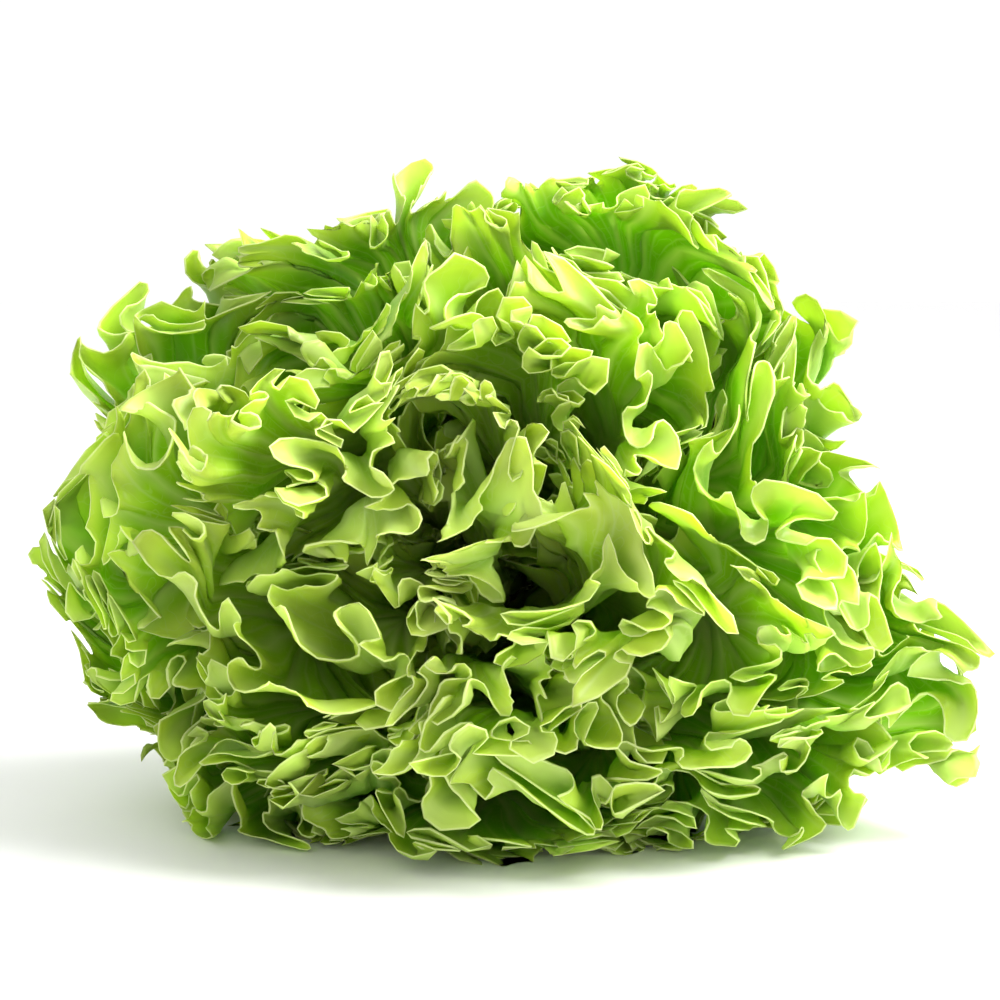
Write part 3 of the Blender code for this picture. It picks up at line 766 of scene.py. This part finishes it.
def leaf_tissue():
    """The tree that makes a sheet a leaf: blistered, thick at the rib, closed, bent and marked for a skin."""
    sizes = ("Rib Thickness", "Vein Height", "Blister Size", "Blister Height", "Bend Size", "Bend",
             "Patch Size")
    tree, given = new_growth("leaf_tissue", tuple((size, "Float") for size in sizes))
    node, work = partial(add_node, tree), partial(maths, tree)

    def on_mesh(attribute, kind="FLOAT"):
        return node("GeometryNodeInputNamedAttribute", {"Name": attribute}, data_type=kind).outputs[0]

    place = node("GeometryNodeInputPosition").outputs[0]
    x, y, z = node("ShaderNodeSeparateXYZ", {0: place}).outputs
    _, turns, out = node("ShaderNodeSeparateXYZ", {0: on_mesh("spot", "FLOAT_VECTOR")}).outputs
    free = ranged(tree, out, *RELIEF_FADE, 0, 1)

    # The sheet with its blisters and ridges, moved half its thickness to the upper side
    blisters = noise(tree, place, work("DIVIDE", 1.0, given["Blister Size"]), 1.0, given["Seed"]).outputs[0]
    blister = work("MULTIPLY", work("SUBTRACT", blisters, 0.5), given["Blister Height"])
    ridge = work("COSINE", work("MULTIPLY", turns, 2 * math.pi * VEINS_PER_FOLD))
    ridge = work("POWER", work("MAXIMUM", ridge, 0.0), VEIN_SHARPNESS)
    relief = work("ADD", blister, work("MULTIPLY", ridge, given["Vein Height"]))
    thick = work("MULTIPLY", on_mesh("flesh"), given["Rib Thickness"])
    lift = work("SUBTRACT", work("MULTIPLY", relief, free), work("MULTIPLY", thick, 0.5))
    sheet = raised(tree, given["Geometry"], lift)

    # The sheet pushed out to the lower side, and a flipped copy of it that closes the upper side
    lower = node("GeometryNodeExtrudeMesh", {
        "Mesh": sheet, "Offset Scale": thick, "Individual": False,
    }, mode="FACES").outputs["Mesh"]
    upper = node("GeometryNodeFlipFaces", {"Mesh": sheet}).outputs[0]
    upper = stored(tree, upper, "upper", 1.0, domain="FACE")
    both = node("GeometryNodeJoinGeometry")
    tree.links.new(lower, both.inputs[0])
    tree.links.new(upper, both.inputs[0])
    closed = node("GeometryNodeMergeByDistance", {"Geometry": both.outputs[0], "Distance": SAME_POINT})

    # The leaves lean on each other: one field of slow bends moves them all, and the table stops them
    bends = noise(tree, place, work("DIVIDE", 1.0, given["Bend Size"]), 0.0).outputs["Color"]
    swung = node("ShaderNodeVectorMath", {0: bends, 1: (0.5, 0.5, 0.5)}, operation="SUBTRACT").outputs[0]
    move = scaled(tree, swung, work("MULTIPLY", given["Bend"], free))
    bent = node("GeometryNodeSetPosition", {"Geometry": closed.outputs[0], "Offset": move}).outputs[0]
    on_table = node("ShaderNodeCombineXYZ", {"X": x, "Y": y, "Z": work("MAXIMUM", z, 0.0)}).outputs[0]
    lying = node("GeometryNodeSetPosition", {"Geometry": bent, "Position": on_table}).outputs[0]

    # What the skin reads: the flesh, how much paler the lower side is, and the shade of the patch
    patches = noise(tree, place, work("DIVIDE", 1.0, given["Patch Size"]), 1.0).outputs[0]
    shade = ranged(tree, patches, *PATCH_RANGE, *PATCH_SHADES)
    paler = ranged(tree, on_mesh("upper"), 0, 1, LOWER_PALENESS, 0)
    tints = node("ShaderNodeCombineXYZ", {"X": on_mesh("flesh"), "Y": paler, "Z": shade}).outputs[0]
    end_growth(tree, stored(tree, lying, "tints", tints, "FLOAT_VECTOR", "CORNER"), given)
    return tree


LEAF_TISSUE = leaf_tissue()


def grow_leaves(name, ring, leaves, folds, greens):
    """The leaves of one ring, each standing for its solid, with the greens of rib, blade, frill and edge."""
    skin = leaf_skin(f"{name}_leaf_skin", *greens)
    for number in range(leaves):
        leaf_name = f"{name}_leaf_{number + 1}"
        sheet = leaf_sheet(leaf_name, Leaf(ring, number, leaves, folds))
        blade = grow(f"frilled_{leaf_name}", sheet, LEAF_TISSUE, {
            "Rib Thickness": RIB_THICKNESS, "Vein Height": VEIN_HEIGHT,
            "Blister Size": BLISTER_SIZE, "Blister Height": BLISTER_HEIGHT,
            "Bend Size": BEND_SIZE, "Bend": BEND, "Patch Size": PATCH_SIZE,
            "Seed": float(ring * RINGS + number), "Material": skin,
        })
        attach(blade, "root")
        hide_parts(leaf_name)


HEART_GREENS = ((0.62, 0.72, 0.3), (0.4, 0.59, 0.05), (0.6, 0.72, 0.13), (0.81, 0.86, 0.42))
grow_leaves("heart", ring=0, leaves=3, folds=8, greens=HEART_GREENS)

# Bud leaves
# Four young leaves that close round the heart. Their thin pale blades are crisp and grow straight from the
# top of the stem.
BUD_GREENS = ((0.61, 0.71, 0.28), (0.38, 0.57, 0.04), (0.58, 0.71, 0.12), (0.8, 0.86, 0.41))
grow_leaves("bud", ring=1, leaves=4, folds=10, greens=BUD_GREENS)

# Inner leaves
# Five leaves round the bud. They stay light green, because little light reaches them, and grow on the stem's
# upper part.
INNER_GREENS = ((0.59, 0.7, 0.25), (0.34, 0.56, 0.025), (0.56, 0.7, 0.1), (0.79, 0.85, 0.4))
grow_leaves("inner", ring=2, leaves=5, folds=11, greens=INNER_GREENS)

# Young leaves
# Six leaves of soft yellow-green tissue, the first whose margins spread out at the front of the head. They
# grow a little below the bud.
YOUNG_GREENS = ((0.57, 0.69, 0.23), (0.31, 0.55, 0.015), (0.54, 0.69, 0.09), (0.78, 0.85, 0.39))
grow_leaves("young", ring=3, leaves=6, folds=11, greens=YOUNG_GREENS)

# Middle leaves
# Six leaves half way down the stem, with tougher green blades and deep frills. Like all others they are held
# by the foot of their midrib.
MIDDLE_GREENS = ((0.55, 0.68, 0.21), (0.26, 0.53, 0.01), (0.52, 0.68, 0.08), (0.77, 0.84, 0.38))
grow_leaves("middle", ring=4, leaves=6, folds=12, greens=MIDDLE_GREENS)

# Broad leaves
# Seven full-grown leaves, each a broad thin blade on a thick white-green rib. The foot of the rib clasps the
# stem.
BROAD_GREENS = ((0.54, 0.68, 0.2), (0.23, 0.52, 0.008), (0.5, 0.68, 0.07), (0.76, 0.84, 0.37))
grow_leaves("broad", ring=5, leaves=7, folds=12, greens=BROAD_GREENS)

# Outer leaves
# Seven leaves that open widely round the head, of the greenest, most waxy tissue. They grow low on the stem
# and lie on each other like shingles.
OUTER_GREENS = ((0.53, 0.67, 0.19), (0.22, 0.51, 0.006), (0.49, 0.67, 0.07), (0.75, 0.83, 0.36))
grow_leaves("outer", ring=6, leaves=7, folds=12, greens=OUTER_GREENS)

# Wrapper leaves
# Eight old leaves round the whole head. The lowest are pressed flat between the head and the table, and the
# stem is cut just below where they grow.
WRAPPER_GREENS = ((0.53, 0.67, 0.19), (0.22, 0.51, 0.006), (0.49, 0.67, 0.07), (0.75, 0.83, 0.36))
grow_leaves("wrapper", ring=7, leaves=8, folds=12, greens=WRAPPER_GREENS)

# Floor and backdrop
# A large flat sheet of matt white paper that the head lies on, and that reaches far behind it. It isn't part
# of the head.
FLOOR_HALF = 3.0
PAPER_WHITE = (0.93, 0.93, 0.93)
PAPER_ROUGHNESS = 0.6
paper_mesh = bpy.data.meshes.new("paper")
paper_corners = [(-1, -1), (1, -1), (1, 1), (-1, 1)]
paper_mesh.from_pydata([(FLOOR_HALF * x, FLOOR_HALF * y, 0) for x, y in paper_corners], [], [(0, 1, 2, 3)])
paper = bpy.data.objects.new("paper", paper_mesh)
bpy.context.scene.collection.objects.link(paper)
paper_skin, _, paper_surface = new_skin("white_paper")
paper_surface.inputs["Base Color"].default_value = (*PAPER_WHITE, 1)
paper_surface.inputs["Roughness"].default_value = PAPER_ROUGHNESS
paper_mesh.materials.append(paper_skin)

# Light and camera
# Even white light from all round, as in a light tent, with a large soft lamp above and to the right. The
# camera looks along the table at the ruffled side, slightly from above.
TENT_LIGHT = 1.06
LAMP_PLACE = Vector((0.50, -0.05, 0.75))
LAMP_SIZE = 0.6
LAMP_POWER = 19
HEAD_MIDDLE = Vector((0, 0, 0.1035))
CAMERA_DISTANCE = 0.765
CAMERA_HEIGHT_ANGLE = math.radians(8)
LENS_LENGTH = 85
SENSOR_WIDTH = 36
NEAREST_SEEN = 0.01

tent = bpy.data.worlds.new("light_tent")
tent.use_nodes = True
tent.node_tree.nodes["Background"].inputs["Color"].default_value = (1, 1, 1, 1)
tent.node_tree.nodes["Background"].inputs["Strength"].default_value = TENT_LIGHT
bpy.context.scene.world = tent


def aimed(thing, place):
    """A lamp or camera at a place, turned to the middle of the head."""
    thing_object = bpy.data.objects.new(thing.name, thing)
    bpy.context.scene.collection.objects.link(thing_object)
    thing_object.location = place
    thing_object.rotation_euler = (HEAD_MIDDLE - place).to_track_quat("-Z", "Y").to_euler()
    return thing_object


lamp = bpy.data.lights.new("soft_lamp", "AREA")
lamp.size = LAMP_SIZE
lamp.energy = LAMP_POWER
aimed(lamp, LAMP_PLACE)

camera = bpy.data.cameras.new("camera")
camera.lens = LENS_LENGTH
camera.sensor_width = SENSOR_WIDTH
camera.clip_start = NEAREST_SEEN
towards_camera = Vector((0, -math.cos(CAMERA_HEIGHT_ANGLE), math.sin(CAMERA_HEIGHT_ANGLE)))
bpy.context.scene.camera = aimed(camera, HEAD_MIDDLE + CAMERA_DISTANCE * towards_camera)
bpy.context.scene.view_settings.view_transform = "Standard"
